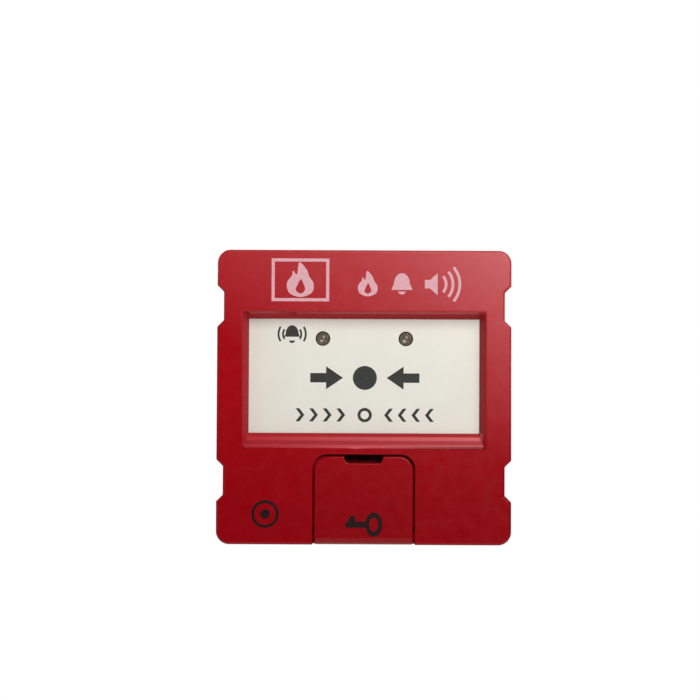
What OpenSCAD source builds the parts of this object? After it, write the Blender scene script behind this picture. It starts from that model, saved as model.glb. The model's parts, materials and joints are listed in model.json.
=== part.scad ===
// Manual call point with a resettable press panel.
// X runs to the right, Z runs up and the front faces -Y. The wall is the plane y = 0.
// "Depth" always means the distance from the wall, so y = -depth.

/* [Front] */
// Width and height of the front face
face_w = 90; // [89:1:91]
// Depth from the wall to the front face
front_d = 44; // [44:0.5:46]
// Radius of the four corners of the front face
corner_r = 4; // [3:0.5:5]
// Wall thickness of the casing
wall = 2; // [1.8:0.1:2.2]
// Thickness of the front face
face_t = 2.2; // [2:0.1:2.4]
// Depth of the release notches in the two sides
notch_d = 2; // [1.5:0.1:2.2]

/* [Press window] */
// Half width of the window where it meets the front face
window_half_w = 37.15; // [36.8:0.05:37.3]
// Half width of the part of the panel that shows
panel_half_w = 35.5; // [35.2:0.1:35.6]
// How far the panel lies behind the front face
window_deep = 5; // [4.8:0.1:5.2]
// Diameter of an indicator lamp
lamp_dia = 3.9; // [3.5:0.1:4]

/* [Reset flap] */
// Half width of the flap
flap_half_w = 15; // [14:0.1:15]
// Gap between the flap and the bay around it
flap_gap = 0.6; // [0.5:0.05:1]
// Radius of the flap's upper corners
flap_r = 4.3; // [3:0.1:5]
// Thickness of the flap
flap_t = 2; // [1.8:0.1:2]

/* [Back box] */
// Width and height of the mounting base
base_w = 81; // [80.5:0.5:81]
// Depth of the mounting base
base_d = 20; // [20:0.5:20.5]
// Spacing of the two wall screws
wall_screw_gap = 60; // [59:0.5:61]
// Diameter of the cable entry in the floor of the base
entry_dia = 18; // [12:1:20]

/* [Hidden] */
$fn = 64;
eps = 0.01;

red = [0.72, 0.05, 0.08];
cream = [0.89, 0.86, 0.81];
ivory = [0.80, 0.78, 0.72];
black = [0.10, 0.10, 0.11];
green = [0.05, 0.36, 0.20];
steel = [0.70, 0.71, 0.73];
gold = [0.83, 0.67, 0.30];
smoke = [0.45, 0.40, 0.34, 0.7];

// Depths of the layers, from the wall to the front
floor_t = 2.5;
skirt_d = 12;
gasket_t = 1;
cover_t = 2;
cover_d = base_d + gasket_t;
cover_front = cover_d + cover_t;
board_t = 1.6;
board_d = cover_front + 3.4;
board_front = board_d + board_t;
chassis_t = 2;
chassis_d = board_front + 1;
chassis_front = chassis_d + chassis_t;
face_back = front_d - face_t;
lip_d = front_d - window_deep;

// Outline of the casing and its notches
half_w = face_w / 2;
upper_notch_z = 27.8;
lower_notch_z = -25.5;
notch_half = 6.3;
notch_slope = 2;

// Bosses of the casing, the pilot holes in them and the screws that go there
cover_boss = [34, 34.5];
boss_r = 3.2;
cover_pilot_r = 1;
cover_screw_len = 9;
chassis_boss = [[-26, 33.5], [26, 33.5], [-28, -24], [28, -24]];
chassis_boss_r = 2.8;
chassis_pilot_r = 0.8;
chassis_screw_len = 6;
board_hole = [[-31, 26], [31, 26], [-31, -14], [31, -14]];
board_pilot_r = 0.8;
board_screw_len = 4.2;
board_pad_r = 2.2;
pilot_spare = 1;

// Locking screw that comes up from below
lock_d = 16;
lock_r = 1.4;
lock_head_r = 2.6;
lock_sink = 1.8;
lock_sunk_by = 0.2;
lock_len = 10;
lock_pad_half = 4;
lock_pad_top = -33.5;

// Window
window_top = 26.2;
window_bottom = -15.9;
panel_top = 24.2;
panel_bottom = -11;
lip_wall = 1.75;

// Ramp below the panel: a low edge, a shallow facet given as [depth, height], a steep facet and a rounded lip
ramp_edge = 0.3;
ramp_facet = [0.75, 2];
ramp_lip_r = 1.1;
ramp_lip_turn = 60;
ramp_lip_steps = 6;

// Press plate and its pivot
plate_gap = 0.3;
plate_t = 2;
plate_front = lip_d - plate_gap;
plate_back = plate_front - plate_t;
plate_half_w = 36.3;
plate_bottom = -12.4;
pivot_z = 26.5;
pivot_d = plate_back - 0.1;
pivot_r = 1.25;
pivot_barrel_r = 2;
ear_x0 = 36.6;
ear_x1 = 38.5;
run_gap = 0.05;
lamp_x = 12.8;
lamp_z = 18.15;
lamp_r = lamp_dia / 2;
lamp_hole_r = 2.25;
lamp_foot_d = board_front + 4;
lamp_flange_r = 2.3;
lamp_flange_t = 1;
lead_x = 1.27;

// Reset hook of the plate and the latch spring that catches it
hook_x0 = 2;
hook_x1 = 4.2;
hook_z0 = plate_bottom;
hook_z1 = -9.8;
hook_tip_d = 34;
barb_d0 = 34.3;
barb_d1 = 35.3;
barb_w = 0.8;
leaf_x = 5.5;
leaf_t = 0.5;
leaf_bottom = -38.5;
leaf_foot_top = -31.5;
leaf_foot_x = 14;
leaf_screw = [10.5, -35];
leaf_screw_r = 1;
leaf_d = 32.7;
leaf_screw_head_r = 1.9;
leaf_screw_head_t = 1.2;
leaf_pilot_r = 0.8;
nose_d0 = 32.4;
nose_d1 = 33.9;
nose_x = 4.5;
nose_z0 = -12.2;
nose_z1 = -10.2;
nose_gap = 0.4;
nose_room = 1;

// Return springs
spring_x = 28;
spring_z = -6;
spring_r = 2.6;
spring_wire = 0.5;
post_r = 1.6;
post_len = 2;

// Reset flap and its bay
bay_half_w = flap_half_w + flap_gap;
flap_top = -18.1;
bay_top = flap_top + flap_gap;
bay_wall = 1.5;
ledge_w = 1.5;
ledge_gap = 0.1;
bay_floor_front = front_d - 9;
bay_floor_back = bay_floor_front - 2;
flap_axis_z = -42.5;
flap_barrel_r = 2.5;
flap_axis_d = front_d - flap_barrel_r;
flap_pin_r = 0.75;
flap_pin_end = bay_half_w + bay_wall;
flap_collar_r = 1.6;
flap_room = 0.3;
finger_top_half = 5.95;
finger_low_half = 5.75;
finger_low = -20.1;
finger_r = 1.4;

// Key barrel
key_z = -27;
key_body_r = 4.5;
key_head_r = 5.6;
key_head_t = 2;
key_tail_r = 2.5;
key_bore_r = 2;
key_bore_deep = 4;
key_cone_deep = 1.2;
keyway_w = 1;
keyway_len = 6.6;
keyway_deep = 3.5;
key_base_d = chassis_d - 0.5;
key_pilot_r = 0.7;
key_screw_len = 2.8;
cam_d0 = chassis_front + 0.3;
cam_d1 = bay_floor_back - 0.2;
cam_hub_r = 4.6;
cam_lobe_r = 7.4;
cam_lobe_w = 3;
cam_square = 3.4;

// Parts on the back of the board, each as [x, z] of its middle or its first piece
chip_at = [0, -1];
chip_size = [10, 4];
chip_t = 1.6;
chip_lift = 0.2;
chip_pins = 8;
chip_pitch = 1.27;
pin_w = 0.4;
pin_t = 0.2;
resistor_at = [14, -8];
resistor_size = [2, 3];
resistor_t = 0.6;
resistor_pitch = 3.5;
resistors_in_row = 4;

// Capacitor on the front of the board
cap_at = [18, 3];
cap_r = 2.5;
cap_len = 5.4;

// Microswitch on the board
switch_x = -12;
switch_half_w = 3;
switch_ear_x = 2.6;
switch_ear_half = 0.4;
switch_ear_reach = 0.8;
switch_z0 = -10;
switch_z1 = 3;
switch_top = board_front + 4.4;
lever_z = 2;
lever_d = switch_top + 0.5;
lever_len = 11;
lever_rest = 18.3;
lever_t = 0.3;
lever_half_w = 2;
lever_pin_half = 2.9;
lever_pin_r = 0.4;
plunger_z = -1;
plunger_r = 0.8;
plunger_top = switch_top + 1.15;
plunger_foot = switch_top - 1.4;
plunger_well = switch_top - 2.6;
plunger_gap = 0.1;

// Terminal block
block_half_w = 18;
block_z0 = 12;
block_z1 = 30;
block_top = 13.5;
pole_x = [-13.5, -4.5, 4.5, 13.5];
block_peg = [9, 20];
peg_r = 1.2;
peg_len = 3;
peg_gap = 0.1;
mouth_half = 2.6;
mouth_d = 6.2;
mouth_len = 8;
screw_z = 16.5;
screw_way_r = 2;
blade_z = 26.2;
blade_half = 1.75;
blade_t = 0.8;
blade_tip_d = 7;
blade_pocket = [0.8, 2.4];
cage_half = 2.5;
cage_wall = 0.7;
strip_half = 0.7;
strip_t = 0.35;
strip_d = floor_t + 1.7;

// ---- helpers ----

// Extrudes a front view outline, drawn as [x, z], between two depths
module slab(from_d, to_d) {
    translate([0, -from_d, 0]) rotate([90, 0, 0]) linear_extrude(to_d - from_d) children();
}

// Extrudes a side view outline, drawn as [depth, z], between two values of x
module across(from_x, to_x) {
    translate([to_x, 0, 0]) rotate([90, 0, -90]) linear_extrude(to_x - from_x) children();
}

// Extrudes a plan view outline, drawn as [x, depth], between two heights
module upright(from_z, to_z) {
    translate([0, 0, to_z]) rotate([180, 0, 0]) linear_extrude(to_z - from_z) children();
}

// Round bar along the depth
module bar(x, z, from_d, to_d, r) {
    slab(from_d, to_d) translate([x, z]) circle(r);
}

// Block between two corners given as [x, depth, z]
module block(low, high) {
    slab(low[1], high[1]) translate([low[0], low[2]]) square([high[0] - low[0], high[2] - low[2]]);
}

module rounded_square(w, r) {
    square([w - 2 * r, w], center = true);
    square([w, w - 2 * r], center = true);
    for (x = [-1, 1], z = [-1, 1]) translate([x * (w / 2 - r), z * (w / 2 - r)]) circle(r);
}

// One release notch, drawn at the right edge; inset moves its walls into the material
function slope_z(x, inset) =
    let (run = notch_d, rise = notch_slope, reach = inset / norm([run, rise]))
    notch_half + run * reach + (x + rise * reach) * rise / run;

module notch_outline(inset) {
    floor_x = -notch_d - inset;
    far_z = slope_z(floor_x, inset);
    out_z = slope_z(1, inset);
    polygon([[1, out_z], [floor_x, far_z], [floor_x, -far_z], [1, -out_z]]);
}

// Outline of the front face, moved inward by inset
module face_outline(inset) {
    difference() {
        rounded_square(face_w - 2 * inset, corner_r - inset * 0.7);
        for (side = [0, 1], z = [upper_notch_z, lower_notch_z])
            mirror([side, 0]) translate([half_w, z]) notch_outline(inset);
    }
}

// Pan head screw driven towards the front; its head sits behind face_d
module rear_screw(x, z, face_d, head_r, head_t, shank_r, shank_len) {
    slot_w = head_r * 0.3;
    slot_len = head_r * 1.2;
    difference() {
        union() {
            bar(x, z, face_d - head_t, face_d, head_r);
            bar(x, z, face_d - eps, face_d + shank_len, shank_r);
        }
        for (turn = [0, 90])
            slab(face_d - head_t - eps, face_d - head_t * 0.45)
                translate([x, z]) rotate(turn) square([slot_len, slot_w], center = true);
    }
}

// ---- back box ----

module mounting_base() color(ivory) {
    slot_r = 2.25;
    slot_half = 1.25;
    outer_r = 3;
    lug = [0.5, 2, 8];
    lug_d = 17.5;
    lug_stands = 0.4;
    difference() {
        union() {
            difference() {
                slab(0, base_d) rounded_square(base_w, outer_r);
                slab(floor_t, base_d + eps) rounded_square(base_w - 2 * wall, outer_r - wall);
            }
            for (side = [-1, 1])
                bar(side * block_peg[0], block_peg[1], floor_t - eps, floor_t + peg_len, peg_r);
            block([-lock_pad_half, skirt_d, -base_w / 2 + wall - eps],
                  [lock_pad_half, base_d, lock_pad_top]);
            // snap lugs that hold the casing
            for (side = [-1, 1], z = [upper_notch_z, lower_notch_z])
                translate([side * (base_w / 2 + lug_stands - lug[0] / 2), -lug_d, z])
                    cube(lug, center = true);
        }
        bar(0, 0, -eps, floor_t + eps, entry_dia / 2);
        for (side = [-1, 1]) {
            slab(-eps, floor_t + eps)
                translate([side * wall_screw_gap / 2, 0]) square([2 * slot_half, 2 * slot_r], center = true);
            for (end = [-1, 1])
                bar(side * wall_screw_gap / 2 + end * slot_half, 0, -eps, floor_t + eps, slot_r);
        }
        translate([0, -lock_d, -base_w / 2 - eps]) cylinder(h = 7.4, r = lock_r);
    }
}

module terminal_block() color(black) {
    channel_d = floor_t + 1.6;
    difference() {
        block([-block_half_w, floor_t, block_z0], [block_half_w, block_top, block_z1]);
        for (x = pole_x) {
            block([x - mouth_half, mouth_d - mouth_half, block_z0 - eps],
                  [x + mouth_half, mouth_d + mouth_half, block_z0 + mouth_len]);
            bar(x, screw_z, mouth_d, block_top + eps, screw_way_r);
            // pocket of the blade contact, and the channel of its strip
            block([x - blade_pocket[0], channel_d, blade_z - blade_pocket[1]],
                  [x + blade_pocket[0], block_top + eps, blade_z + blade_pocket[1]]);
            block([x - blade_pocket[0], channel_d, block_z0 + mouth_len - eps],
                  [x + blade_pocket[0], strip_d + strip_t + 0.15, blade_z]);
        }
        for (side = [-1, 1])
            bar(side * block_peg[0], block_peg[1],
                floor_t - eps, floor_t + peg_len + pilot_spare, peg_r + peg_gap);
    }
}

// One brass piece per pole: wire cage, strip and the two leaves that grip a blade
module contact_strips() color(gold) {
    cage_low = block_z0 + 1.5;
    cage_high = block_z0 + mouth_len - 0.4;
    strip_high = blade_z + 2.2;
    leaf_w = 0.35;
    leaf_mid = blade_t / 2 + leaf_w / 2;
    leaf_half = 2.2;
    inner = cage_half - cage_wall;
    for (x = pole_x) {
        difference() {
            block([x - cage_half, mouth_d - cage_half, cage_low],
                  [x + cage_half, mouth_d + cage_half, cage_high]);
            block([x - inner, mouth_d - inner, cage_low - 1], [x + inner, mouth_d + inner, cage_high + 1]);
            bar(x, screw_z, mouth_d, block_top, 1.25);
        }
        block([x - strip_half, strip_d, cage_high - 0.1], [x + strip_half, strip_d + strip_t, strip_high]);
        block([x - strip_half, mouth_d - cage_half, cage_high - 0.1],
              [x + strip_half, strip_d + strip_t, cage_high + 0.3]);
        for (side = [-1, 1])
            block([x + side * leaf_mid - leaf_w / 2, strip_d, blade_z - leaf_half],
                  [x + side * leaf_mid + leaf_w / 2, block_top - 0.6, blade_z + leaf_half]);
    }
}

module terminal_screws() color(steel) {
    head_low = 9.2;
    head_t = 2.4;
    slot_low = head_low + 1.5;
    for (x = pole_x)
        difference() {
            union() {
                bar(x, screw_z, head_low, head_low + head_t, 1.9);
                bar(x, screw_z, 6.6, head_low + eps, 1.2);
            }
            slab(slot_low, head_low + head_t + 1)
                translate([x, screw_z]) rotate(30 + x * 4) square([5, 0.7], center = true);
        }
}

module sealing_gasket() color(black) {
    inset = 0.1;
    slab(base_d, cover_d) difference() {
        rounded_square(base_w - 2 * inset, 3 - inset);
        rounded_square(base_w - 2 * wall + 2 * inset, 1 + inset);
    }
}

module rear_cover() color(black) {
    way = [0.7, 2.1];
    difference() {
        slab(cover_d, cover_front) face_outline(wall + 0.25);
        for (x = [-1, 1], z = [-1, 1])
            bar(x * cover_boss[0], z * cover_boss[1], cover_d - eps, cover_front + eps, 1.4);
        for (x = pole_x)
            block([x - way[0], cover_d - eps, blade_z - way[1]],
                  [x + way[0], cover_front + eps, blade_z + way[1]]);
    }
}

module cover_screws() color(steel) {
    for (x = [-1, 1], z = [-1, 1])
        rear_screw(x * cover_boss[0], z * cover_boss[1], cover_d, 2.3, 1.6, cover_pilot_r, cover_screw_len);
}

module contact_blades() color(gold) {
    for (x = pole_x)
        block([x - blade_t / 2, blade_tip_d, blade_z - blade_half],
              [x + blade_t / 2, board_d, blade_z + blade_half]);
}

// ---- electronics ----

module circuit_board() color(green) {
    difference() {
        slab(board_d, board_front) translate([-34, -17]) square([68, 46]);
        for (p = board_hole) bar(p[0], p[1], board_d - eps, board_front + eps, board_pilot_r + 0.3);
    }
}

module board_screws() color(steel) {
    for (p = board_hole) rear_screw(p[0], p[1], board_d, 1.9, 1.2, board_pilot_r, board_screw_len);
}

module control_chip() color(black) {
    face = board_d - chip_lift;
    half = chip_size / 2;
    reach = half[1] + 1.1;
    block([chip_at[0] - half[0], face - chip_t, chip_at[1] - half[1]],
          [chip_at[0] + half[0], face, chip_at[1] + half[1]]);
    for (i = [0 : chip_pins - 1], side = [0, 1])
        translate([chip_at[0] + (i - (chip_pins - 1) / 2) * chip_pitch, 0, chip_at[1]]) mirror([0, 0, side]) {
            block([-pin_w / 2, board_d - 1.1, half[1] - 0.1], [pin_w / 2, board_d - 1.1 + pin_t, reach]);
            block([-pin_w / 2, board_d - 1.1, reach - 0.45], [pin_w / 2, board_d, reach - 0.15]);
        }
}

module capacitor() color(steel) {
    bar(cap_at[0], cap_at[1], board_front, board_front + cap_len, cap_r);
}

module resistors() color(black) {
    for (i = [0 : resistors_in_row - 1]) {
        x = resistor_at[0] + i * resistor_pitch;
        block([x, board_d - resistor_t, resistor_at[1]],
              [x + resistor_size[0], board_d, resistor_at[1] + resistor_size[1]]);
    }
}

module microswitch_body() color(black) {
    difference() {
        union() {
            block([switch_x - switch_half_w, board_front, switch_z0],
                  [switch_x + switch_half_w, switch_top, switch_z1]);
            for (side = [-1, 1])
                block([switch_x + side * switch_ear_x - switch_ear_half, switch_top - eps,
                       lever_z - switch_ear_reach],
                      [switch_x + side * switch_ear_x + switch_ear_half, lever_d + switch_ear_reach,
                       lever_z + switch_ear_reach]);
        }
        bar(switch_x, plunger_z, plunger_well, switch_top + eps, plunger_r + plunger_gap);
        across(switch_x - switch_half_w - 1, switch_x + switch_half_w + 1)
            translate([lever_d, lever_z]) circle(lever_pin_r + run_gap);
    }
}

module switch_plunger() color(red) {
    bar(switch_x, plunger_z, plunger_foot, plunger_top, plunger_r);
}

module switch_lever() color(steel) {
    across(switch_x - lever_half_w, switch_x + lever_half_w)
        translate([lever_d, lever_z]) rotate(-90 + lever_rest)
            translate([0, -lever_t / 2]) square([lever_len, lever_t]);
    across(switch_x - lever_pin_half, switch_x + lever_pin_half)
        translate([lever_d, lever_z]) circle(lever_pin_r);
}

// ---- mechanism ----

module inner_chassis() color(ivory) {
    ear_z = [22.5, 30];
    ear_front = pivot_d + 2.05;
    difference() {
        union() {
            slab(chassis_d, chassis_front) translate([-38.5, -39]) square([77, 78]);
            // ears that carry the plate's pivots
            for (side = [0, 1]) mirror([side, 0, 0])
                block([ear_x0, chassis_front - eps, ear_z[0]], [ear_x1, ear_front, ear_z[1]]);
            // standoffs for the board
            for (p = board_hole) bar(p[0], p[1], board_front, chassis_d + eps, board_pad_r);
            // posts that centre the return springs
            for (side = [-1, 1])
                bar(side * spring_x, spring_z, chassis_front - eps, chassis_front + post_len, post_r);
            bar(0, key_z, chassis_d - 1.5, chassis_d + eps, 5);
        }
        for (side = [0, 1]) mirror([side, 0, 0])
            across(ear_x0 - eps, ear_x1 + eps)
                translate([pivot_d, pivot_z]) circle(pivot_r + run_gap);
        for (x = [-1, 1], z = [-1, 1])
            bar(x * cover_boss[0], z * cover_boss[1], chassis_d - eps, chassis_front + eps, boss_r + 0.5);
        for (p = chassis_boss)
            bar(p[0], p[1], chassis_d - eps, chassis_front + eps, chassis_pilot_r + 0.3);
        for (p = board_hole) bar(p[0], p[1], board_front - eps, chassis_front + eps, board_pilot_r);
        for (side = [-1, 1])
            bar(side * lamp_x, lamp_z, chassis_d - eps, chassis_front + eps, lamp_flange_r + 0.4);
        bar(0, key_z, chassis_d - 2, chassis_front + eps, key_tail_r + run_gap);
        bar(leaf_screw[0], leaf_screw[1], chassis_d - eps, chassis_front + eps, leaf_pilot_r);
        // windows for the switch, the hook and the capacitor
        block([switch_x - 4, chassis_d - eps, switch_z0 - 1],
              [switch_x + 4, chassis_front + eps, switch_z1 + 1]);
        block([-1, chassis_d - eps, -15.5], [8, chassis_front + eps, -8]);
        block([cap_at[0] - 4, chassis_d - eps, cap_at[1] - 4],
              [cap_at[0] + 4, chassis_front + eps, cap_at[1] + 4]);
    }
}

module chassis_screws() color(steel) {
    for (p = chassis_boss) rear_screw(p[0], p[1], chassis_d, 2, 1.4, chassis_pilot_r, chassis_screw_len);
}

module lamp(x) {
    dome_d = plate_front - 0.6;
    color(smoke) {
        bar(x, lamp_z, lamp_foot_d, lamp_foot_d + lamp_flange_t, lamp_flange_r);
        bar(x, lamp_z, lamp_foot_d + lamp_flange_t - eps, dome_d, lamp_r);
        intersection() {
            translate([x, -dome_d, lamp_z]) sphere(lamp_r);
            bar(x, lamp_z, dome_d - 0.4, dome_d + lamp_dia, lamp_r);
        }
    }
}

module alarm_led() lamp(-lamp_x);

module status_led() lamp(lamp_x);

module led_spacers() color(cream) {
    for (side = [-1, 1])
        difference() {
            bar(side * lamp_x, lamp_z, board_front, lamp_foot_d, lamp_flange_r);
            for (lead = [-1, 1])
                bar(side * lamp_x + lead * lead_x, lamp_z, board_front - eps, lamp_foot_d + eps, 0.45);
        }
}

module led_leads() color(steel) {
    for (side = [-1, 1], lead = [-1, 1])
        bar(side * lamp_x + lead * lead_x, lamp_z, board_front, lamp_foot_d, 0.3);
}

module press_plate() color(cream) {
    difference() {
        union() {
            slab(plate_back, plate_front)
                translate([-plate_half_w, plate_bottom]) square([2 * plate_half_w, pivot_z - plate_bottom]);
            across(-plate_half_w, plate_half_w) translate([pivot_d, pivot_z]) circle(pivot_barrel_r);
            across(-ear_x1 + 0.1, ear_x1 - 0.1) translate([pivot_d, pivot_z]) circle(pivot_r);
            // hook with its barb
            block([hook_x0, hook_tip_d, hook_z0], [hook_x1, plate_back + eps, hook_z1]);
            block([hook_x1 - eps, barb_d0, hook_z0], [hook_x1 + barb_w, barb_d1, hook_z1]);
        }
        for (side = [-1, 1])
            bar(side * lamp_x, lamp_z, plate_back - 1, plate_front + eps, lamp_hole_r);
        // pocket that clears the latch's nose while the plate is pressed
        block([hook_x1, plate_back - eps, plate_bottom - eps],
              [leaf_x + leaf_t + nose_gap, plate_back + nose_room, nose_z1 + nose_gap]);
    }
}

module return_spring(x) color(steel) {
    slab(chassis_front, plate_back) translate([x, spring_z]) difference() {
        circle(spring_r);
        circle(spring_r - spring_wire);
    }
}

module return_spring_left() return_spring(-spring_x);

module return_spring_right() return_spring(spring_x);

module latch_spring() color(steel) {
    difference() {
        block([leaf_x, chassis_front, leaf_bottom], [leaf_foot_x, chassis_front + leaf_t, leaf_foot_top]);
        bar(leaf_screw[0], leaf_screw[1], chassis_front - eps, chassis_front + leaf_t + eps, leaf_screw_r);
    }
    block([leaf_x, chassis_front, leaf_bottom], [leaf_x + leaf_t, leaf_d, nose_z1]);
    block([leaf_x, leaf_d - eps, nose_z0], [leaf_x + leaf_t, nose_d1, nose_z1]);
    block([nose_x, nose_d0, nose_z0], [leaf_x + eps, nose_d1, nose_z1]);
}

module latch_screw() color(steel) {
    face = chassis_front + leaf_t;
    difference() {
        union() {
            bar(leaf_screw[0], leaf_screw[1], face, face + leaf_screw_head_t, leaf_screw_head_r);
            bar(leaf_screw[0], leaf_screw[1], chassis_d + 0.2, face + eps, leaf_pilot_r);
        }
        slab(face + leaf_screw_head_t / 2, face + leaf_screw_head_t + 1)
            translate(leaf_screw) rotate(35) square([4, 0.5], center = true);
    }
}

// Rotor of the reset lock; the key's spigot enters its drilled recess and the key's blade enters the slot
module key_barrel() color(steel) {
    square_end = cam_d0 - 0.1;
    key_face = bay_floor_front + key_head_t;
    recess_d = key_face - key_bore_deep;
    difference() {
        union() {
            bar(0, key_z, bay_floor_front, key_face, key_head_r);
            bar(0, key_z, cam_d1, bay_floor_front + eps, key_body_r);
            slab(square_end, cam_d1 + eps) translate([0, key_z]) square(cam_square, center = true);
            bar(0, key_z, key_base_d, square_end + eps, key_tail_r);
        }
        bar(0, key_z, recess_d, key_face + eps, key_bore_r);
        translate([0, -recess_d - eps, key_z]) rotate([-90, 0, 0])
            cylinder(h = key_cone_deep, r1 = key_bore_r, r2 = 0);
        slab(key_face - keyway_deep, key_face + eps)
            translate([0, key_z]) square([keyway_w, keyway_len], center = true);
        bar(0, key_z, key_base_d - eps, key_base_d + key_screw_len + 0.2, key_pilot_r);
    }
}

module reset_cam() color(ivory) {
    slab(cam_d0, cam_d1) translate([0, key_z]) difference() {
        union() {
            circle(cam_hub_r);
            translate([-cam_lobe_w / 2, 0]) square([cam_lobe_w, cam_lobe_r - cam_lobe_w / 2]);
            translate([0, cam_lobe_r - cam_lobe_w / 2]) circle(cam_lobe_w / 2);
        }
        square(cam_square, center = true);
    }
}

module cam_screw() color(steel) {
    rear_screw(0, key_z, key_base_d, 2.3, 1, key_pilot_r, key_screw_len);
}

// ---- casing ----

// Window cut: sloped on all four sides, the bottom one a ramp of two facets with a rounded lip
module window_cut() {
    past = front_d + 1;
    behind = lip_d - 4;
    ramp_d = lip_d + ramp_edge;
    lip_arc = [for (i = [0 : ramp_lip_steps])
        let (turn = ramp_lip_turn * (1 - i / ramp_lip_steps))
        [front_d + ramp_lip_r * (cos(turn) - 1), window_bottom + ramp_lip_r * sin(turn)]];
    intersection() {
        across(-window_half_w - 1, window_half_w + 1) polygon(concat(
            [[behind, panel_bottom], [ramp_d, panel_bottom],
             [ramp_d + ramp_facet[0], panel_bottom - ramp_facet[1]]],
            lip_arc,
            [[past, window_bottom], [past, window_top], [front_d, window_top],
             [lip_d, panel_top], [behind, panel_top]]));
        upright(window_bottom - 1, window_top + 1) polygon([
            [-panel_half_w, behind], [-panel_half_w, lip_d], [-window_half_w, front_d],
            [-window_half_w, past], [window_half_w, past], [window_half_w, front_d],
            [panel_half_w, lip_d], [panel_half_w, behind]]);
    }
}

// Front view outline of the flap's bay, grown by extra
module bay_outline(extra, low_z) {
    half = bay_half_w + extra;
    top = bay_top + extra;
    r = flap_r + extra;
    translate([-half, low_z]) square([2 * half, top - r - low_z]);
    translate([-half + r, low_z]) square([2 * (half - r), top - low_z]);
    for (side = [-1, 1]) translate([side * (half - r), top - r]) circle(r);
}

module front_casing() color(red) {
    inner_low = -half_w + wall;
    barrel_room = flap_barrel_r + flap_room;
    ridge_half = 3.5;
    ridge_d = [skirt_d + 1, skirt_d + 3];
    difference() {
        union() {
            difference() {
                slab(skirt_d, front_d) face_outline(0);
                slab(skirt_d - eps, face_back) face_outline(wall);
            }
            // rim behind the window
            block([-window_half_w - lip_wall, lip_d, window_bottom - lip_wall],
                  [window_half_w + lip_wall, face_back + eps, window_top + lip_wall]);
            // pocket behind the flap
            slab(bay_floor_back, face_back + eps) bay_outline(bay_wall, inner_low - eps);
            for (x = [-1, 1], z = [-1, 1])
                bar(x * cover_boss[0], z * cover_boss[1], cover_front, face_back + eps, boss_r);
            for (p = chassis_boss) bar(p[0], p[1], chassis_front, face_back + eps, chassis_boss_r);
            // pad for the locking screw
            block([-lock_pad_half, skirt_d, inner_low - eps], [lock_pad_half, base_d, -base_w / 2 - 0.2]);
            // ridges that snap behind the lugs of the base
            for (side = [0, 1], z = [upper_notch_z, lower_notch_z]) mirror([side, 0, 0])
                block([base_w / 2 + 0.1, ridge_d[0], z - ridge_half],
                      [half_w - notch_d - wall + eps, ridge_d[1], z + ridge_half]);
        }
        window_cut();
        // bay with the ledge that stops the flap, which leaves room for a nail and for the flap's barrel
        slab(bay_floor_front, front_d + eps) bay_outline(-ledge_w, inner_low);
        slab(front_d - flap_t - ledge_gap, front_d + eps) bay_outline(0, inner_low);
        block([-finger_top_half, bay_floor_front, bay_top - flap_r],
              [finger_top_half, front_d + eps, bay_top]);
        block([-bay_half_w, flap_axis_d - barrel_room, -half_w - eps],
              [bay_half_w, front_d + eps, flap_axis_z + barrel_room]);
        bar(0, key_z, bay_floor_back - eps, bay_floor_front + eps, key_body_r + run_gap);
        across(-flap_pin_end - eps, flap_pin_end + eps)
            translate([flap_axis_d, flap_axis_z]) circle(flap_pin_r);
        for (x = [-1, 1], z = [-1, 1])
            bar(x * cover_boss[0], z * cover_boss[1], cover_front - eps,
                cover_d + cover_screw_len + pilot_spare, cover_pilot_r);
        for (p = chassis_boss)
            bar(p[0], p[1], chassis_front - eps,
                chassis_d + chassis_screw_len + pilot_spare, chassis_pilot_r);
        translate([0, -lock_d, -half_w - eps]) {
            cylinder(h = 6, r = lock_r + 0.2);
            cylinder(h = lock_sink + eps, r = lock_head_r + 0.2);
        }
    }
}

module locking_screw() color(steel) {
    slot = [3, 0.7, 1.6];
    translate([0, -lock_d, -half_w + lock_sunk_by]) difference() {
        union() {
            cylinder(h = lock_sink - lock_sunk_by, r = lock_head_r);
            cylinder(h = lock_len, r = lock_r);
        }
        for (turn = [0, 90]) rotate(turn) cube(slot, center = true);
    }
}

module flap_hinge_pin() color(steel) {
    across(-flap_pin_end, flap_pin_end) translate([flap_axis_d, flap_axis_z]) circle(flap_pin_r);
}

module flap_outline() {
    translate([-flap_half_w, flap_axis_z]) square([2 * flap_half_w, flap_top - flap_r - flap_axis_z]);
    translate([-flap_half_w + flap_r, flap_axis_z])
        square([2 * (flap_half_w - flap_r), flap_top - flap_axis_z]);
    for (side = [-1, 1]) translate([side * (flap_half_w - flap_r), flap_top - flap_r]) circle(flap_r);
}

// Notch for a fingernail in the flap's upper edge
module finger_notch() {
    hull() {
        translate([-finger_top_half, flap_top]) square([2 * finger_top_half, 1]);
        for (side = [-1, 1])
            translate([side * (finger_low_half - finger_r), finger_low + finger_r])
                circle(finger_r, $fn = 32);
    }
}

module reset_flap() color(red) {
    collar_end = bay_half_w - 0.1;
    difference() {
        union() {
            slab(front_d - flap_t, front_d) difference() {
                flap_outline();
                finger_notch();
            }
            across(-flap_half_w, flap_half_w) translate([flap_axis_d, flap_axis_z]) circle(flap_barrel_r);
            // collars that centre the flap in its bay
            across(-collar_end, collar_end) translate([flap_axis_d, flap_axis_z]) circle(flap_collar_r);
        }
        across(-bay_half_w, bay_half_w)
            translate([flap_axis_d, flap_axis_z]) circle(flap_pin_r + run_gap);
    }
}

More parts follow.
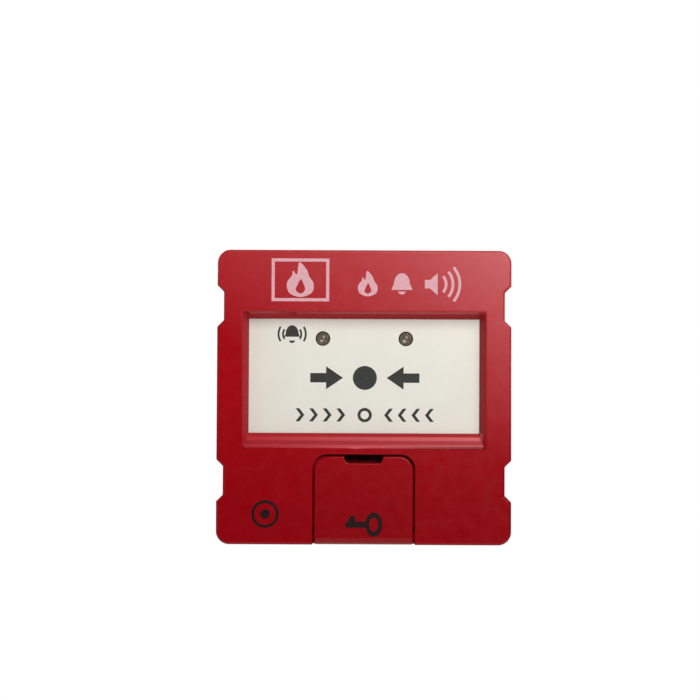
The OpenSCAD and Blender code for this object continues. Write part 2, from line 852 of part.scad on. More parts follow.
mounting_base();
terminal_block();
contact_strips();
terminal_screws();
sealing_gasket();
rear_cover();
cover_screws();
contact_blades();
circuit_board();
board_screws();
control_chip();
capacitor();
resistors();
microswitch_body();
switch_plunger();
switch_lever();
inner_chassis();
chassis_screws();
alarm_led();
status_led();
led_spacers();
led_leads();
press_plate();
return_spring_left();
return_spring_right();
latch_spring();
latch_screw();
key_barrel();
reset_cam();
cam_screw();
front_casing();
locking_screw();
flap_hinge_pin();
reset_flap();
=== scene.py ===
"""Looks of the manual call point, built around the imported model. Metres, X right, Z up, front to -Y."""

import json
from math import asin, cos, pi, radians, sin

import bmesh
import bpy
from mathutils import Matrix, Vector


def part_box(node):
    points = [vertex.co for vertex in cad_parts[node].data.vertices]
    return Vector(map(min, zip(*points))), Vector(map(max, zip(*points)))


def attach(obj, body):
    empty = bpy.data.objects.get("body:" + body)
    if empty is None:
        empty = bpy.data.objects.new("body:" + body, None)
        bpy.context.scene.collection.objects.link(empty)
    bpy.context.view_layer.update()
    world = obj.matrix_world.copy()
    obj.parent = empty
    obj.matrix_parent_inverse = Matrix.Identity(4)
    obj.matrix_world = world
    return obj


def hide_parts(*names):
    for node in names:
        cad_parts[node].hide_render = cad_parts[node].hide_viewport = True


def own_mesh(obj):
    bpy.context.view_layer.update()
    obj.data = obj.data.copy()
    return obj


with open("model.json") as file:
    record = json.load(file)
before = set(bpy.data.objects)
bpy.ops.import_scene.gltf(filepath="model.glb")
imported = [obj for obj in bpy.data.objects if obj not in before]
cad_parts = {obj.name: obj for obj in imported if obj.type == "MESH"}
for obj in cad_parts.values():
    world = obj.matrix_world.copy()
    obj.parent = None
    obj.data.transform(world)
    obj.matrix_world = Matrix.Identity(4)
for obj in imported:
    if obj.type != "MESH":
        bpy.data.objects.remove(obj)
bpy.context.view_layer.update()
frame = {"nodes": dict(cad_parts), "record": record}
MM = 0.001

casing_low, casing_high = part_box("front_casing")
FRONT_Y = casing_low.y
PLATE_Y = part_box("press_plate")[0].y
HALF = casing_high.x
BODY_OF = {node: body for body, nodes in frame["record"]["behaviour"]["bodies"].items() for node in nodes}
SLOT_OF = {row["node"]: row["material_slot"] for row in frame["record"]["subparts"]}


# ---------------------------------------------------------------- materials

class Look:
    """A node material: sockets that stay constant are set on the shader, and textures are linked to it."""

    def __init__(self, name, **sockets):
        self.material = bpy.data.materials.new(name)
        self.material.use_nodes = True
        self.nodes = self.material.node_tree.nodes
        self.links = self.material.node_tree.links
        self.shader = self.nodes["Principled BSDF"]
        for socket, value in sockets.items():
            self.shader.inputs[socket.replace("_", " ")].default_value = value
        self.place = self.node("ShaderNodeTexCoord").outputs["Object"]

    def node(self, kind, **settings):
        made = self.nodes.new(kind)
        for key, value in settings.items():
            setattr(made, key, value)
        return made

    def link(self, source, target):
        self.links.new(source, target)

    def stretched(self, scale):
        """The object coordinates, scaled apart along the axes."""
        mapping = self.node("ShaderNodeMapping")
        mapping.inputs["Scale"].default_value = scale
        self.link(self.place, mapping.inputs["Vector"])
        return mapping.outputs["Vector"]

    def noise(self, size, detail=3.0, rough=0.55, place=None):
        """Cloudy noise whose features are about size metres across."""
        made = self.node("ShaderNodeTexNoise")
        made.inputs["Scale"].default_value = 1 / size
        made.inputs["Detail"].default_value = detail
        made.inputs["Roughness"].default_value = rough
        self.link(place or self.place, made.inputs["Vector"])
        return made.outputs["Fac"]

    def spread(self, source, low, high, start=0.3, end=0.7):
        """source, taken from start..end to low..high."""
        made = self.node("ShaderNodeMapRange")
        for socket, value in zip(("From Min", "From Max", "To Min", "To Max"), (start, end, low, high)):
            made.inputs[socket].default_value = value
        self.link(source, made.inputs["Value"])
        return made.outputs["Result"]

    def mix(self, factor, first, second):
        """first and second are colours or sockets, mixed by a socket."""
        made = self.node("ShaderNodeMix", data_type="RGBA")
        self.link(factor, made.inputs["Factor"])
        for socket, value in ((made.inputs[6], first), (made.inputs[7], second)):
            if isinstance(value, bpy.types.NodeSocket):
                self.link(value, socket)
            else:
                socket.default_value = (*value, 1)
        return made.outputs[2]

    def along(self, direction):
        """Distance of a point along direction, as a dot product."""
        made = self.node("ShaderNodeVectorMath", operation="DOT_PRODUCT")
        made.inputs[1].default_value = direction
        self.link(self.place, made.inputs[0])
        return made.outputs["Value"]

    def inside(self, low, high, soft):
        """1 within the box low..high, which fades to 0 over soft metres outside it."""
        low, high = Vector(low), Vector(high)
        source = self.place
        middle, reach = (low + high) / 2, (high - low) / 2
        for operation, value in (("SUBTRACT", middle), ("ABSOLUTE", None), ("SUBTRACT", reach)):
            step = self.node("ShaderNodeVectorMath", operation=operation)
            if value is not None:
                step.inputs[1].default_value = value
            self.link(source, step.inputs[0])
            source = step.outputs["Vector"]
        parts = self.node("ShaderNodeSeparateXYZ")
        self.link(source, parts.inputs[0])
        furthest = parts.outputs["X"]
        for part in ("Y", "Z"):
            larger = self.node("ShaderNodeMath", operation="MAXIMUM")
            self.link(furthest, larger.inputs[0])
            self.link(parts.outputs[part], larger.inputs[1])
            furthest = larger.outputs["Value"]
        return self.spread(furthest, 1, 0, 0, soft)

    def colour(self, source):
        self.link(source, self.shader.inputs["Base Color"])

    def roughness(self, source):
        self.link(source, self.shader.inputs["Roughness"])

    def relief(self, *layers):
        """Bump from (height socket, depth in metres) layers, one on top of another."""
        below = None
        for height, depth in layers:
            bump = self.node("ShaderNodeBump")
            bump.inputs["Strength"].default_value = 1
            bump.inputs["Distance"].default_value = depth
            self.link(height, bump.inputs["Height"])
            if below:
                self.link(below, bump.inputs["Normal"])
            below = bump.outputs["Normal"]
        self.link(below, self.shader.inputs["Normal"])


SPECK_APART = 11 * MM
SPECK_R = 0.38 * MM
SPECK_STRENGTH = 0.7
MASK_SOFT = 0.12 * MM
PAINT_FROM, PAINT_TO = -0.7, 0.9    # where the painted light and shade in the window's boxes changes across the width, in halves of it
ERODED_SHINE = 0.02


def shade(colour, factor):
    return tuple(min(1, c * factor) for c in colour)


def moulded(name, colour, rough, grain=0.4 * MM, grain_depth=0.002 * MM, mottle=0.06,
            wave_depth=0.01 * MM, specks=None, sheen_paint=(), recess_light_paint=(), matte=None, **sockets):
    """Injection-moulded plastic: faint mottling, uneven gloss, a fine surface grain and slight sink waves.
    Its painted sheen rows turn it towards a paler colour along a direction, from start to end, as painted
    light.
    Its painted light rows give a box in the window lighter, highlighted or shaded colours, from left to
    right.
    matte is a box with an eroded finish, whose plastic hardly shines."""
    cloud_size, gloss_size, wave_size = 9 * MM, 4 * MM, 14 * MM
    look = Look(name, **sockets)
    clouds = look.spread(look.noise(cloud_size), 0, 1)
    body = look.mix(clouds, shade(colour, 1 - mottle), shade(colour, 1 + mottle))
    # painted light: the red turns paler towards the top, with a painted sheen towards the upper right
    for direction, start, end, sheen_colour in sheen_paint:
        body = look.mix(look.spread(look.along(direction), 0, 1, start, end), body, sheen_colour)
    # painted light and shade in boxes of the window's recess, changing from left to right
    for low, high, left, right in recess_light_paint:
        lit_or_shaded = look.mix(look.spread(look.along((1 / HALF, 0, 0)), 0, 1, PAINT_FROM, PAINT_TO), left, right)
        body = look.mix(look.inside(low, high, MASK_SOFT), body, lit_or_shaded)
    if specks:
        grains = look.node("ShaderNodeTexVoronoi")
        grains.inputs["Scale"].default_value = 1 / SPECK_APART
        look.link(look.place, grains.inputs["Vector"])
        edge = SPECK_R / SPECK_APART
        spots = look.spread(grains.outputs["Distance"], SPECK_STRENGTH, 0, edge / 2, edge)
        body = look.mix(spots, body, specks)
    look.colour(body)
    if matte:
        eroded = look.inside(*matte, MASK_SOFT)
        shine = look.spread(eroded, sockets["Specular_IOR_Level"], ERODED_SHINE, 0, 1)
        look.link(shine, look.shader.inputs["Specular IOR Level"])
    look.roughness(look.spread(look.noise(gloss_size, 2), rough - 0.03, rough + 0.04))
    look.relief((look.noise(wave_size, 1), wave_depth), (look.noise(grain, 2), grain_depth))
    return look.material


def metal(name, colour, rough, brushed=(1, 1, 14), grain_depth=0.0012 * MM, tarnish=0.12):
    """Bare metal with fine marks along one direction and cloudy tarnish."""
    look = Look(name, Metallic=1.0)
    look.colour(look.mix(look.spread(look.noise(2.2 * MM, 4), 0, 1), shade(colour, 1 - tarnish), colour))
    marks = look.noise(0.5 * MM, 3, 0.6, look.stretched(brushed))
    look.roughness(look.spread(marks, rough - 0.06, rough + 0.1))
    look.relief((marks, grain_depth))
    return look.material


def ink(name, colour, patchy, rough):
    """A thin printed coat, with patches of another colour where the plastic shows through."""
    look = Look(name, Specular_IOR_Level=0.2)
    look.colour(look.mix(look.spread(look.noise(0.55 * MM, 4, 0.7), 0, 1, 0.35, 0.75), colour, patchy))
    look.roughness(look.spread(look.noise(0.8 * MM), rough - 0.05, rough + 0.08))
    look.relief((look.noise(0.25 * MM, 2), 0.002 * MM))
    return look.material


def solder_mask(name):
    """Circuit board: green mask with lighter copper tracks under it."""
    look = Look(name)
    track_apart, track_depth = 2.6 * MM, 0.02 * MM
    cells = look.node("ShaderNodeTexVoronoi", distance="MANHATTAN", feature="F1")
    cells.inputs["Scale"].default_value = 1 / track_apart
    cells.inputs["Randomness"].default_value = 0.55
    look.link(look.place, cells.inputs["Vector"])
    tracks = look.spread(cells.outputs["Distance"], 0, 1, 0.62, 0.66)
    green = look.mix(look.spread(look.noise(3 * MM), 0, 1), (0.010, 0.105, 0.050), (0.014, 0.130, 0.062))
    look.colour(look.mix(tracks, green, (0.030, 0.210, 0.100)))
    look.roughness(look.spread(look.noise(1.5 * MM), 0.28, 0.4))
    look.relief((tracks, track_depth), (look.noise(0.3 * MM), 0.003 * MM))
    return look.material


def lamp_resin(name):
    """Smoky tinted epoxy of an unlit lamp."""
    look = Look(name, Transmission_Weight=0.62, IOR=1.5)
    look.colour(look.mix(look.spread(look.noise(1.2 * MM), 0, 1), (0.24, 0.19, 0.13), (0.34, 0.28, 0.20)))
    look.roughness(look.spread(look.noise(0.7 * MM), 0.16, 0.26))
    look.relief((look.noise(0.5 * MM, 2), 0.002 * MM))
    return look.material


def behind_face(half_width, low_z, high_z, start, end):
    """Box from start to end behind the casing's face. Takes millimetres."""
    return ((-half_width * MM, FRONT_Y + start * MM, low_z * MM),
            (half_width * MM, FRONT_Y + end * MM, high_z * MM))


RED = (0.262, 0.0002, 0.0035)
# (direction, start, end, colour): painted light, paler from the bottom upwards, and a painted sheen, paler
# still towards the upper right
PAINTED_SHEEN = (((0, 0, 1 / HALF), -0.8, 0.1, (0.345, 0.0008, 0.0050)),
          ((0.3 / HALF, 0, 0.7 / HALF), 0.0, 1.15, (0.530, 0.0600, 0.0680)))
# the window's sides, and in it the ramp under the panel and the darker line along the ramp, which get
# painted light and painted shade below
RECESS = behind_face(37.3, -15.6, 25.5, start=0.16, end=6)
LEDGE = behind_face(36.3, -15.8, -11.0, start=0.13, end=4.2)
VALLEY = behind_face(36.3, -14.5, -13.4, start=0.2, end=4.2)
# painted light: lighter window sides, a painted highlight along the ramp that grows brighter to the right,
# and painted shade along the darker line
PAINTED_RECESS_LIGHT = ((*RECESS, (0.400, 0.020, 0.030), (0.360, 0.020, 0.026)),
          (*LEDGE, (0.490, 0.034, 0.044), (0.660, 0.150, 0.160)),
          (*VALLEY, (0.390, 0.020, 0.032), (0.480, 0.060, 0.070)))
DUST = (0.62, 0.20, 0.22)
CREAM = (0.755, 0.740, 0.655)
LOOKS = {
    "casing_red": moulded("casing_red", RED, 0.25, grain_depth=0.0005 * MM, mottle=0.03,
                          specks=DUST, sheen_paint=PAINTED_SHEEN, recess_light_paint=PAINTED_RECESS_LIGHT, matte=RECESS,
                          Specular_IOR_Level=0.2),
    "flap_red": moulded("flap_red", shade(RED, 0.95), 0.26, grain_depth=0.0005 * MM, mottle=0.03,
                        specks=DUST, sheen_paint=PAINTED_SHEEN, Specular_IOR_Level=0.2),
    "plate_plastic": moulded("plate_plastic", CREAM, 0.42, mottle=0.02, specks=(0.70, 0.64, 0.55)),
    "base_plastic": moulded("base_plastic", (0.60, 0.57, 0.50), 0.50, grain=0.5 * MM,
                            grain_depth=0.008 * MM, mottle=0.025, specks=(0.48, 0.45, 0.39)),
    "chassis_plastic": moulded("chassis_plastic", (0.66, 0.64, 0.58), 0.46, mottle=0.04),
    "cover_plastic": moulded("cover_plastic", (0.020, 0.020, 0.022), 0.48, grain_depth=0.006 * MM,
                             mottle=0.15),
    "terminal_plastic": moulded("terminal_plastic", (0.016, 0.016, 0.018), 0.5,
                                grain_depth=0.005 * MM, mottle=0.15),
    "switch_plastic": moulded("switch_plastic", (0.014, 0.014, 0.016), 0.45, mottle=0.15),
    "chip_plastic": moulded("chip_plastic", (0.012, 0.012, 0.013), 0.6, grain=0.2 * MM,
                            grain_depth=0.006 * MM, mottle=0.2),
    "plunger_plastic": moulded("plunger_plastic", (0.42, 0.012, 0.010), 0.38),
    "gasket_rubber": moulded("gasket_rubber", (0.012, 0.012, 0.012), 0.72, grain=0.25 * MM,
                             grain_depth=0.01 * MM, mottle=0.25),
    "board_laminate": solder_mask("board_laminate"),
    "screw_steel": metal("screw_steel", (0.58, 0.58, 0.60), 0.30),
    "spring_steel": metal("spring_steel", (0.52, 0.52, 0.54), 0.26, brushed=(8, 1, 1)),
    "contact_brass": metal("contact_brass", (0.72, 0.50, 0.20), 0.30),
    "barrel_zinc": metal("barrel_zinc", (0.56, 0.56, 0.58), 0.34, brushed=(6, 1, 6), tarnish=0.25),
    "can_aluminium": metal("can_aluminium", (0.74, 0.75, 0.76), 0.34),
    "lamp_resin": lamp_resin("lamp_resin"),
}
PRINT_WHITE = ink("print_white", (0.74, 0.44, 0.48), (0.62, 0.26, 0.30), 0.46)
PRINT_DARK = ink("print_dark", (0.026, 0.029, 0.026), (0.045, 0.048, 0.043), 0.5)
PRINT_KEY = ink("print_key", (0.0080, 0.0004, 0.0010), (0.0200, 0.0006, 0.0020), 0.40)
DARK_PIN = metal("pin_steel", (0.10, 0.09, 0.09), 0.42)


# ---------------------------------------------------------------- CAD pieces with finished edges

SAME_POINT = 0.0005 * MM
FLAT = radians(0.2)
SHARP = radians(30)


def finished(node, edge, segments=3, weigh=None, material=None):
    """The node's own shape with its flat faces cleaned up and its sharp edges rounded by edge metres.
    weigh(middle) is the share of edge that the sharp edge around middle gets; without it all get the whole.
    material takes the place of the slot's own look."""
    mesh = frame["nodes"][node].data.copy()
    form = bmesh.new()
    form.from_mesh(mesh)
    bmesh.ops.remove_doubles(form, verts=form.verts, dist=SAME_POINT)
    bmesh.ops.dissolve_limit(form, angle_limit=FLAT, verts=form.verts, edges=form.edges)
    if weigh:
        layer = form.edges.layers.float.new("bevel_weight_edge")
        for line in form.edges:
            if len(line.link_faces) == 2 and line.calc_face_angle(0) > SHARP:
                line[layer] = weigh((line.verts[0].co + line.verts[1].co) / 2)
    form.to_mesh(mesh)
    form.free()
    piece = bpy.data.objects.new(node + "_fine", mesh)
    bpy.context.scene.collection.objects.link(piece)
    mesh.materials.clear()
    mesh.materials.append(material or LOOKS[SLOT_OF[node]])
    mesh.shade_smooth()
    bevel = piece.modifiers.new("edges", "BEVEL")
    bevel.width = edge
    bevel.segments = segments
    bevel.use_clamp_overlap = False
    bevel.limit_method = "WEIGHT" if weigh else "ANGLE"
    bevel.angle_limit = SHARP
    bevel.miter_outer = "MITER_ARC"
    normals = piece.modifiers.new("normals", "WEIGHTED_NORMAL")
    normals.keep_sharp = False
    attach(piece, BODY_OF[node])
    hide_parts(node)
    return piece


ON_PLANE = 0.05 * MM


def casing_edge(middle):
    """Full rounding on the outer front edge, about half on the window's and the bay's, and little inside.
    The short edges where the ramp's lip ends stay as they are."""
    rim = 2.3 * MM
    lip_z = LEDGE[0][2]
    at_lip = lip_z - 0.2 * MM < middle.z < lip_z + MM
    if at_lip and 36 * MM < abs(middle.x) < 38 * MM:
        return 0
    outside = max(abs(middle.x), abs(middle.z)) > HALF - rim
    if abs(middle.y - FRONT_Y) < ON_PLANE:
        return 1.0 if outside else 0.45
    if outside and middle.y > casing_high.y - ON_PLANE:
        return 0.4
    return 0.2


def plate_edge(middle):
    """Full rounding on the plate's own edges and little on the lamp holes."""
    around_hole = 2.5 * MM
    low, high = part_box("status_led")
    across = abs(middle.x) - (low.x + high.x) / 2
    up = middle.z - (low.z + high.z) / 2
    return 0.25 if across ** 2 + up ** 2 < around_hole ** 2 else 1


finished("front_casing", 0.9 * MM, 4, weigh=casing_edge)
finished("reset_flap", 0.4 * MM, 3)
finished("press_plate", 0.25 * MM, 3, weigh=plate_edge)
finished("mounting_base", 0.5 * MM, 3)
SMALL_EDGES_MM = {
    "terminal_block": 0.2, "contact_strips": 0.05, "terminal_screws": 0.12, "sealing_gasket": 0.2,
    "rear_cover": 0.25, "cover_screws": 0.15, "contact_blades": 0.12, "circuit_board": 0.1,
    "board_screws": 0.12, "control_chip": 0.08, "capacitor": 0.3, "resistors": 0.06,
    "microswitch_body": 0.15, "switch_plunger": 0.15, "switch_lever": 0.05, "inner_chassis": 0.2,
    "chassis_screws": 0.12, "led_spacers": 0.1, "led_leads": 0.05, "latch_screw": 0.1,
    "key_barrel": 0.15, "reset_cam": 0.15, "cam_screw": 0.1, "locking_screw": 0.15,
}
for small_node, small_edge in SMALL_EDGES_MM.items():
    finished(small_node, small_edge * MM, 2)
finished("flap_hinge_pin", 0.15 * MM, 2, material=DARK_PIN)


def trimmed(piece, point, normal):
    """Cuts piece at a plane, leaves only the side that normal points to, and closes the cut."""
    form = bmesh.new()
    form.from_mesh(piece.data)
    everything = form.verts[:] + form.edges[:] + form.faces[:]
    bmesh.ops.bisect_plane(form, geom=everything, plane_co=point, plane_no=normal, clear_inner=True)
    bmesh.ops.holes_fill(form, edges=form.edges)
    form.to_mesh(piece.data)
    form.free()


def latch():
    """The latch spring in two parts: the foot stays under its screw, the key's cam pushes the leaf aside.
    The nose is trimmed, so that it clears the pressed plate wherever the cam has moved it."""
    leaf_reach, nose_trim, edge = 1.55 * MM, 0.8 * MM, 0.06 * MM
    low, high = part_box("latch_spring")
    right_of_leaf = (low.x + leaf_reach, 0, 0)
    nose_front = (0, low.y + nose_trim, 0)
    foot = finished("latch_spring", edge, 2)
    leaf = finished("latch_spring", edge, 2)
    foot.name, leaf.name = "latch_foot", "latch_leaf"
    trimmed(foot, right_of_leaf, (1, 0, 0))
    trimmed(leaf, right_of_leaf, (-1, 0, 0))
    trimmed(leaf, nose_front, (0, 1, 0))
    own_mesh(leaf)


latch()


# ---------------------------------------------------------------- lathe and coil pieces

def add_piece(name, mesh, material, body):
    piece = bpy.data.objects.new(name, mesh)
    bpy.context.scene.collection.objects.link(piece)
    mesh.materials.clear()
    mesh.materials.append(material)
    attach(piece, body)
    return piece


def lathe(profile, centre, sides=48):
    """Turns [(radius, height)] about the axis through centre that runs out to the front.
    The ends at radius 0 close it."""
    angles = [2 * pi * i / sides for i in range(sides)]
    form = bmesh.new()
    rings = []
    for radius, height in profile:
        if not radius:
            rings.append([form.verts.new((centre.x, -height, centre.z))])
            continue
        rings.append([form.verts.new((centre.x + radius * cos(a), -height, centre.z + radius * sin(a)))
                      for a in angles])
    for low, high in zip(rings, rings[1:]):
        for i in range(sides):
            j = (i + 1) % sides
            corners = [low[i % len(low)], low[j % len(low)], high[j % len(high)], high[i % len(high)]]
            unique = list(dict.fromkeys(corners))
            if len(unique) > 2:
                form.faces.new(unique)
    bmesh.ops.recalc_face_normals(form, faces=form.faces)
    mesh = bpy.data.meshes.new("lathe")
    form.to_mesh(mesh)
    form.free()
    mesh.shade_smooth()
    return mesh


LENS_R = 2.0 * MM


def indicator(node, side):
    """Lamp with a domed lens and, inside it, the metal cup that shows through the resin."""
    low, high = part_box(node)
    centre = Vector((side * abs(low.x + high.x) / 2, 0, (low.z + high.z) / 2))
    r = LENS_R
    tip, foot = -low.y, -high.y
    flange_r, flange_t = (high.x - low.x) / 2, 1 * MM
    dome_base = tip - r
    steps = 12
    dome = [(r * cos(pi / 2 * i / steps), dome_base + r * sin(pi / 2 * i / steps)) for i in range(steps)]
    flange = [(0, foot), (flange_r, foot), (flange_r, foot + flange_t), (r, foot + flange_t)]
    profile = flange + dome + [(0, tip)]
    lens = add_piece(node + "_lens", lathe(profile, centre), LOOKS["lamp_resin"], "root")
    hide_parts(node)
    cup_foot, cup_floor, cup_rim = dome_base - 2.4 * MM, dome_base - 1.6 * MM, dome_base - 0.9 * MM
    cup = [(0, cup_foot), (0.75 * MM, cup_foot), (1.15 * MM, cup_rim),
           (1.0 * MM, cup_rim), (0.55 * MM, cup_floor), (0, cup_floor)]
    add_piece(node + "_cup", lathe(cup, centre, 24), LOOKS["spring_steel"], "root")


indicator("alarm_led", -1)
indicator("status_led", 1)


def return_spring(node):
    """Helical spring with closed ends in the room of its CAD tube, built at its rest length; the real
    spring shortens as the plate is pressed.
    """
    low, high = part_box(node)
    wire = 0.25 * MM
    radius = (high.x - low.x) / 2 - wire
    centre = (low + high) / 2
    turns, per_turn, sides = 6.5, 28, 8
    closed_end = 0.1    # share of the wire that lies flat at each end
    length = high.y - low.y - 2 * wire
    count = int(turns * per_turn)
    form = bmesh.new()
    rings = []
    for i in range(count + 1):
        t = i / count
        ease = min(1, max(0, (t - closed_end) / (1 - 2 * closed_end)))
        angle = 2 * pi * turns * t
        along = high.y - wire - length * ease
        out = Vector((cos(angle), 0, sin(angle)))
        rings.append([form.verts.new(Vector((centre.x, along, centre.z)) + out * (radius + wire * cos(a))
                                     + Vector((0, wire * sin(a), 0)))
                      for a in (2 * pi * k / sides for k in range(sides))])
    for low_ring, high_ring in zip(rings, rings[1:]):
        for k in range(sides):
            n = (k + 1) % sides
            form.faces.new([low_ring[k], low_ring[n], high_ring[n], high_ring[k]])
    form.faces.new(rings[0])
    form.faces.new(rings[-1])
    bmesh.ops.recalc_face_normals(form, faces=form.faces)
    mesh = bpy.data.meshes.new(node)
    form.to_mesh(mesh)
    form.free()
    mesh.shade_smooth()
    spring = add_piece(node + "_coil", mesh, LOOKS["spring_steel"], "root")
    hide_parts(node)
    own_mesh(spring)


return_spring("return_spring_left")
return_spring("return_spring_right")


# ---------------------------------------------------------------- printed marks

PRINT_T = 0.03 * MM
TARGET = (0.2, 6.06)    # middle of the round target on the plate, in millimetres


def arc(x, z, rx, rz, start=0, end=360, steps=48):
    """Points on an ellipse, in degrees from +X towards +Z; a whole turn leaves out its last point."""
    whole = abs(end - start) >= 360
    count = steps if whole else steps + 1
    return [(x + rx * cos(radians(start + (end - start) * i / steps)),
             z + rz * sin(radians(start + (end - start) * i / steps))) for i in range(count)]


def smooth(points, steps=8):
    """Closed Catmull-Rom curve through points."""
    made = []
    n = len(points)
    for i in range(n):
        a, b, c, d = (Vector(points[(i + k) % n]) for k in (-1, 0, 1, 2))
        for s in range(steps):
            t = s / steps
            made.append(tuple(0.5 * (2 * b + (c - a) * t + (2 * a - 5 * b + 4 * c - d) * t ** 2
                                     + (3 * b - 3 * c + d - a) * t ** 3)))
    return made


def moved(points, x, z, size=1.0):
    return [(x + px * size, z + pz * size) for px, pz in points]


def printed(name, loops, surface_y, body, material):
    """Flat print on a face at surface_y. Loops are in millimetres, and one inside another is a hole."""
    outline = bpy.data.curves.new(name, "CURVE")
    outline.dimensions = "2D"
    outline.fill_mode = "BOTH"
    outline.extrude = PRINT_T / 2
    for loop in loops:
        spline = outline.splines.new("POLY")
        spline.points.add(len(loop) - 1)
        for point, (x, z) in zip(spline.points, loop):
            point.co = (x * MM, z * MM, 0, 1)
        spline.use_cyclic_u = True
    drawn = bpy.data.objects.new(name + "_outline", outline)
    bpy.context.scene.collection.objects.link(drawn)
    mesh = bpy.data.meshes.new_from_object(drawn.evaluated_get(bpy.context.evaluated_depsgraph_get()))
    bpy.data.objects.remove(drawn)
    mesh.transform(Matrix.Translation((0, surface_y, 0)) @ Matrix.Rotation(pi / 2, 4, "X"))
    mesh.shade_flat()
    add_piece(name, mesh, material, body)


BELL = [arc(0, 0.2, 2.5, 3.2, 0, 180, 24) + [(-3.4, -2.0), (3.4, -2.0)],
        arc(0, -2.5, 1.15, 0.95, 180, 360, 12)]
FLAME = smooth([(0, -4.4), (-2.9, -3.3), (-3.5, -0.8), (-2.2, 1.2), (-1.9, 2.4), (-0.9, 1.5), (-0.3, 4.6),
                (1.6, 2.7), (2.3, 0.9), (3.4, -0.9), (2.9, -3.3)])
FLAME_HEART = smooth([(0, -3.5), (-1.2, -2.6), (-0.7, -1.1), (0.1, 0.2), (0.8, -1.0), (1.2, -2.6)])


def arrow(side):
    """Arrow that points at the target from one side."""
    tip, head, wing, shaft, tail = 6.75, 5.2, 3.55, 1.45, 16.85
    pts = [(tip, 0), (tip + head, wing), (tip + head, shaft), (tail, shaft), (tail, -shaft),
           (tip + head, -shaft), (tip + head, -wing)]
    return moved([(side * x, z) for x, z in pts], *TARGET)


def band(x, z, radius, width, half_angle):
    """Piece of a ring on its +X side."""
    return (arc(x, z, radius, radius, -half_angle, half_angle, 20)
            + arc(x, z, radius - width, radius - width, half_angle, -half_angle, 20))


def chevron(x, z, size, side):
    """Angle bracket with its tip at (x, z), which points to +X for side 1 and to -X for side -1."""
    w, h, t = 1.0 * size, 1.3 * size, 0.75 * size
    pts = [(0, 0), (-w, h), (-w - t, h), (-t, 0), (-w - t, -h), (-w, -h)]
    return [(x + side * px, z + pz) for px, pz in pts]


def press_marks():
    """Arrows and target as printed on the plate, a bell by the left lamp and chevrons along the bottom."""
    target_r = 3.7
    loops = [arrow(-1), arrow(1), arc(*TARGET, target_r, target_r, steps=72)]
    x, z = -22.3, 19.5
    loops += [moved(loop, x, z, 0.8) for loop in BELL]
    for radius in (3.1, 4.5):
        wave = band(x, z, radius, 0.6, 32)
        loops += [wave, [(2 * x - px, pz) for px, pz in wave]]
    row, first, apart, size = -5.4, 6.0, 4.2, 1.55
    for i in range(4):
        for side in (-1, 1):
            loops.append(chevron(TARGET[0] - side * (first + apart * i), row, size, side))
    loops += [arc(TARGET[0], row, r, r) for r in (2.2, 1.3)]
    printed("plate_print", loops, PLATE_Y - PRINT_T / 2, "press_plate", PRINT_DARK)


def key_mark():
    """Key symbol on the flap: an oval bow, a plain stem and one bit."""
    x, z, rx, rz, stem = 3.1, -38.8, 2.6, 3.7, 0.95
    rise = 180 / pi * asin(stem / rz)
    bow = arc(x, z, rx, rz, 180 + rise, 540 - rise, 60)
    outline = bow + [(-2.4, z + stem), (-2.7, -36.4), (-3.5, -36.0), (-4.3, -36.7), (-4.8, z + stem),
                     (-5.5, z + 0.7), (-5.6, z - 0.6), (-5.2, z - stem)]
    hole = arc(x, z, 1.35, 2.1, steps=40)
    printed("key_print", [outline, hole], FRONT_Y - PRINT_T / 2, "reset_flap", PRINT_KEY)


def front_marks():
    """Pale symbols above the window: a framed flame, then a flame, a bell and a sounder in a row."""
    frame_out = [(-28.4, 29.2), (-10.8, 29.2), (-10.8, 42.3), (-28.4, 42.3)]
    stroke = 0.95
    middle = (-19.6, 35.7)
    frame_in = [(x + (stroke if x < middle[0] else -stroke), z + (stroke if z < middle[1] else -stroke))
                for x, z in frame_out]
    loops = [frame_out, frame_in] + [moved(loop, *middle, 1.18) for loop in (FLAME, FLAME_HEART)]
    row = 34.6
    loops += [moved(loop, 1.0, row, 0.86) for loop in (FLAME, FLAME_HEART)]
    loops += [moved(loop, 11.4, row + 0.1, 0.95) for loop in BELL]
    horn = [(-2.6, 1.3), (-1.0, 1.3), (1.3, 3.4), (1.3, -3.4), (-1.0, -1.3), (-2.6, -1.3)]
    sounder_x = 21.0
    loops.append(moved(horn, sounder_x, row))
    loops += [band(sounder_x, row, radius, 0.85, 40) for radius in (4.3, 6.4, 8.5)]
    printed("front_print", loops, FRONT_Y - PRINT_T / 2, "root", PRINT_WHITE)


def corner_mark():
    """Dark round symbol at the lower left: a ring and a dot."""
    x, z = -30.0, -35.7
    ring_r, hole_r, dot_r = 4.2, 3.3, 1.5
    loops = [arc(x, z, r, r, steps=60) for r in (ring_r, hole_r)] + [arc(x, z, dot_r, dot_r)]
    printed("corner_print", loops, FRONT_Y - PRINT_T / 2, "root", PRINT_KEY)


press_marks()
key_mark()
front_marks()
corner_mark()


# ---------------------------------------------------------------- studio

def aim(thing, target):
    thing.rotation_euler = (Vector(target) - thing.location).to_track_quat("-Z", "Y").to_euler()


def panel_light(name, place, target, width, height, watts):
    lamp = bpy.data.lights.new(name, "AREA")
    lamp.shape = "RECTANGLE"
    lamp.size = width
    lamp.size_y = height
    lamp.energy = watts
    holder = bpy.data.objects.new(name, lamp)
    bpy.context.scene.collection.objects.link(holder)
    holder.location = place
    aim(holder, target)


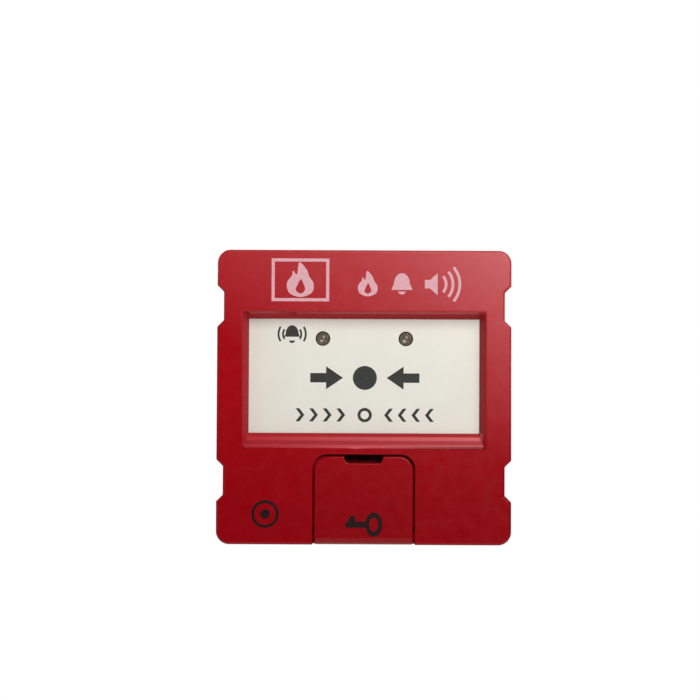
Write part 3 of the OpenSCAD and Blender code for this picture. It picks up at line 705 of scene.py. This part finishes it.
def studio_world():
    """Dim even light all round, and a white backdrop where nothing is hit first."""
    world = bpy.data.worlds.new("studio")
    bpy.context.scene.world = world
    world.use_nodes = True
    nodes, links = world.node_tree.nodes, world.node_tree.links
    nodes.clear()
    path = nodes.new("ShaderNodeLightPath")
    fill, backdrop = nodes.new("ShaderNodeBackground"), nodes.new("ShaderNodeBackground")
    fill.inputs["Color"].default_value = (1, 0.98, 0.96, 1)
    fill.inputs["Strength"].default_value = 0.02
    backdrop.inputs["Color"].default_value = (1, 1, 1, 1)
    backdrop.inputs["Strength"].default_value = 1.0
    mix = nodes.new("ShaderNodeMixShader")
    out = nodes.new("ShaderNodeOutputWorld")
    links.new(path.outputs["Is Camera Ray"], mix.inputs[0])
    links.new(fill.outputs[0], mix.inputs[1])
    links.new(backdrop.outputs[0], mix.inputs[2])
    links.new(mix.outputs[0], out.inputs["Surface"])


def floor():
    half, height = 0.8, -0.30
    mesh = bpy.data.meshes.new("floor")
    corners = [(-half, -half, height), (half, -half, height), (half, half, height), (-half, half, height)]
    mesh.from_pydata(corners, [], [(0, 1, 2, 3)])
    plane = bpy.data.objects.new("floor", mesh)
    bpy.context.scene.collection.objects.link(plane)
    look = Look("floor_paint", Roughness=0.8)
    look.colour(look.mix(look.noise(0.2), (0.86, 0.86, 0.86), (0.89, 0.89, 0.89)))
    mesh.materials.append(look.material)


def camera():
    """Square on to the front, from slightly below, with the object right of and below the middle."""
    distance, seen_width = 0.45, 0.2134
    tilt, roll = radians(-1.2), radians(0.27)
    eye = bpy.data.cameras.new("camera")
    eye.sensor_width = 36
    eye.lens = eye.sensor_width * distance / seen_width
    eye.shift_x = -0.020143
    eye.shift_y = 0.067429
    eye.clip_start = 0.01
    holder = bpy.data.objects.new("camera", eye)
    bpy.context.scene.collection.objects.link(holder)
    middle = Vector((0, FRONT_Y, 0))
    holder.location = middle + Vector((0, -cos(tilt), sin(tilt))) * distance
    aim(holder, middle)
    holder.rotation_euler = (holder.rotation_euler.to_matrix() @ Matrix.Rotation(roll, 3, "Z")).to_euler()
    bpy.context.scene.camera = holder


studio_world()
floor()
face = (0, FRONT_Y, 0)
whole = (0, 0, 0)
panel_light("key", (0.15, -0.47, 0.36), face, 0.34, 0.22, 1.6)
panel_light("sheen", (0.23, -0.90, 0.25), face, 0.22, 0.20, 3.5)
panel_light("fill_left", (-0.60, -0.40, 0.05), face, 0.5, 0.6, 0.7)
panel_light("top", (0.0, 0.05, 0.70), whole, 0.5, 0.3, 0.8)
panel_light("back_left", (-0.55, 0.55, 0.35), whole, 0.5, 0.5, 5.0)
panel_light("back_right", (0.55, 0.55, 0.25), whole, 0.5, 0.5, 5.0)
camera()
bpy.context.scene.view_settings.view_transform = "Standard"
